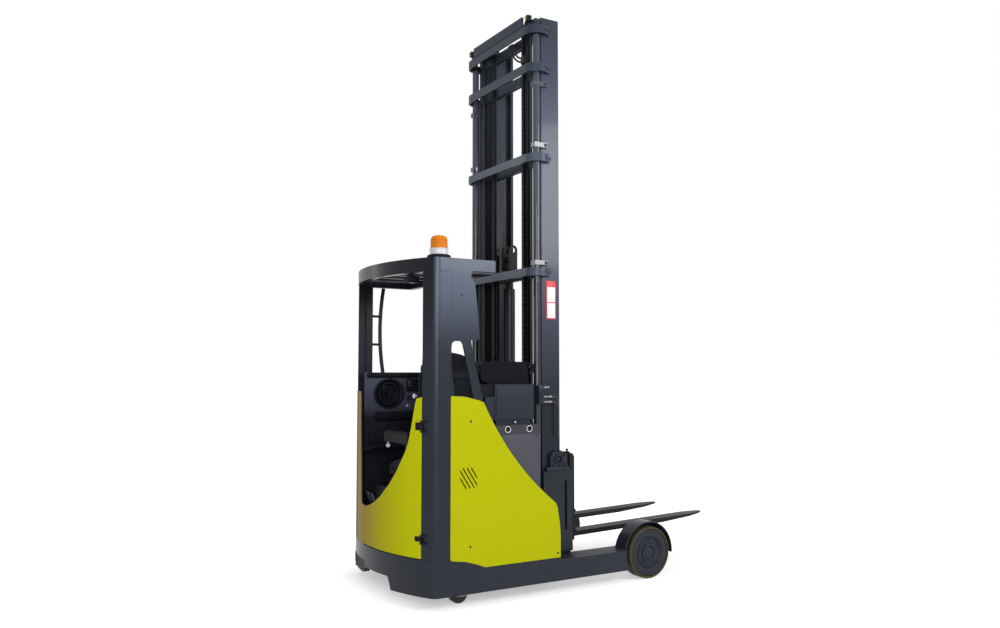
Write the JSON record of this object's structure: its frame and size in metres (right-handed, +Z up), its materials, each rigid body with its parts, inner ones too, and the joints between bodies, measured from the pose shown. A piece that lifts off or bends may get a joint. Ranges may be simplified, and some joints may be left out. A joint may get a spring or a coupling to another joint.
{
  "type": "reach truck",
  "caption": "Electric reach truck with a sideways seat under an overhead guard, straddle legs, a moving three-stage mast and tilting forks.",
  "frame": {"origin": "middle of the footprint on the floor", "axes": "+X towards the fork tips, +Y towards the left flank, +Z up"},
  "size_m": [2.66, 1.25, 3.93],
  "materials": {
    "grey_paint": "satin",
    "green_paint": "gloss",
    "dark_plastic": "matte",
    "seat_fabric": "matte",
    "black_steel": "satin",
    "bright_steel": "gloss",
    "battery_grey": "satin",
    "load_tyre": "matte",
    "drive_rubber": "matte",
    "lamp_orange": "gloss",
    "lamp_base": "gloss",
    "zinc_steel": "brushed"
  },
  "bodies": {
    "truck": {"chassis_frame": "grey_paint", "leg_right": "grey_paint", "leg_left": "grey_paint", "corner_column": "grey_paint", "guard_side_plate": "grey_paint", "roof_frame": "grey_paint", "left_pillar": "grey_paint", "side_panel_right": "green_paint", "side_panel_left": "green_paint", "tail_strip": "green_paint", "floor_pan": "dark_plastic", "seat_base": "dark_plastic", "seat_cushion": "seat_fabric", "seat_back": "seat_fabric", "dashboard": "dark_plastic", "steering_wheel": "dark_plastic", "lever_console": "dark_plastic", "battery_case": "battery_grey", "battery_hood": "dark_plastic", "beacon_base": "lamp_base", "beacon_lens": "lamp_orange", "tail_foot": "black_steel", "hinge_brackets": "black_steel", "pedals": "bright_steel", "hood_top": "dark_plastic"},
    "service_door": {"rear_panel": "green_paint", "door_hinges": "black_steel"},
    "drive_unit": {"drive_gearbox": "grey_paint", "drive_motor": "black_steel"},
    "drive_wheel": {"drive_hub": "grey_paint", "drive_tyre": "drive_rubber"},
    "castor_swivel": {"castor_fork": "zinc_steel"},
    "castor_roll": {"castor_wheel": "drive_rubber"},
    "load_wheel_right": {"load_hub_right": "grey_paint", "load_tyre_right": "load_tyre"},
    "load_wheel_left": {"load_hub_left": "grey_paint", "load_tyre_left": "load_tyre"},
    "mast_base": {"reach_carriage": "grey_paint", "outer_mast": "grey_paint", "outer_crossbars": "grey_paint", "lift_barrels": "grey_paint"},
    "middle_stage": {"middle_mast": "grey_paint", "middle_crossbars": "grey_paint", "chain_guards": "grey_paint", "middle_top_tie": "grey_paint", "lift_rods": "bright_steel", "lift_chains": "black_steel", "mast_hoses": "black_steel"},
    "inner_stage": {"inner_mast": "grey_paint", "free_lift_barrel": "grey_paint"},
    "lift_head": {"free_lift_head": "black_steel"},
    "lift_carriage": {"fork_carriage": "black_steel"},
    "side_shifter": {"side_shift_frame": "black_steel"},
    "tilting_forks": {"tilt_plate": "black_steel", "fork_right": "black_steel", "fork_left": "black_steel"}
  },
  "joints": [
    {"name": "door_swing", "type": "hinge", "parent": "truck", "child": "service_door", "pos_m": [-1.2137, -0.5439, 0.77], "axis": [0, 0, 1], "range_deg": [0, 100]},
    {"name": "drive_steer", "type": "hinge", "parent": "truck", "child": "drive_unit", "pos_m": [-0.97, -0.02, 0.37], "axis": [0, 0, 1], "range_deg": [-90, 90]},
    {"name": "drive_roll", "type": "hinge", "parent": "drive_unit", "child": "drive_wheel", "pos_m": [-0.97, -0.02, 0.1715], "axis": [0, 1, 0], "continuous": true},
    {"name": "castor_turn", "type": "hinge", "parent": "truck", "child": "castor_swivel", "pos_m": [-0.905, -0.49, 0.19], "axis": [0, 0, 1], "continuous": true},
    {"name": "castor_spin", "type": "hinge", "parent": "castor_swivel", "child": "castor_roll", "pos_m": [-0.933, -0.49, 0.06], "axis": [0, 1, 0], "continuous": true},
    {"name": "load_roll_right", "type": "hinge", "parent": "truck", "child": "load_wheel_right", "pos_m": [0.518, -0.57, 0.178], "axis": [0, 1, 0], "continuous": true},
    {"name": "load_roll_left", "type": "hinge", "parent": "truck", "child": "load_wheel_left", "pos_m": [0.518, 0.57, 0.178], "axis": [0, 1, 0], "continuous": true},
    {"name": "mast_reach", "type": "slide", "parent": "truck", "child": "mast_base", "axis": [1, 0, 0], "range_m": [0, 0.55]},
    {"name": "middle_lift", "type": "slide", "parent": "mast_base", "child": "middle_stage", "axis": [0, 0, 1], "range_m": [0, 2.3]},
    {"name": "inner_lift", "type": "slide", "parent": "middle_stage", "child": "inner_stage", "axis": [0, 0, 1], "range_m": [0, 2.3]},
    {"name": "head_lift", "type": "slide", "parent": "inner_stage", "child": "lift_head", "axis": [0, 0, 1], "range_m": [-0.13, 1]},
    {"name": "carriage_lift", "type": "slide", "parent": "inner_stage", "child": "lift_carriage", "axis": [0, 0, 1], "range_m": [-0.25, 1.9]},
    {"name": "side_shift", "type": "slide", "parent": "lift_carriage", "child": "side_shifter", "axis": [0, 1, 0], "range_m": [-0.075, 0.075]},
    {"name": "fork_tilt", "type": "hinge", "parent": "side_shifter", "child": "tilting_forks", "pos_m": [0.0023, 0, 0.82], "axis": [0, -1, 0], "range_deg": [-2, 4]}
  ],
  "couplings": [
    {"joint": "inner_lift", "follows": "middle_lift", "ratio": 1},
    {"joint": "head_lift", "follows": "carriage_lift", "ratio": 0.5}
  ]
}
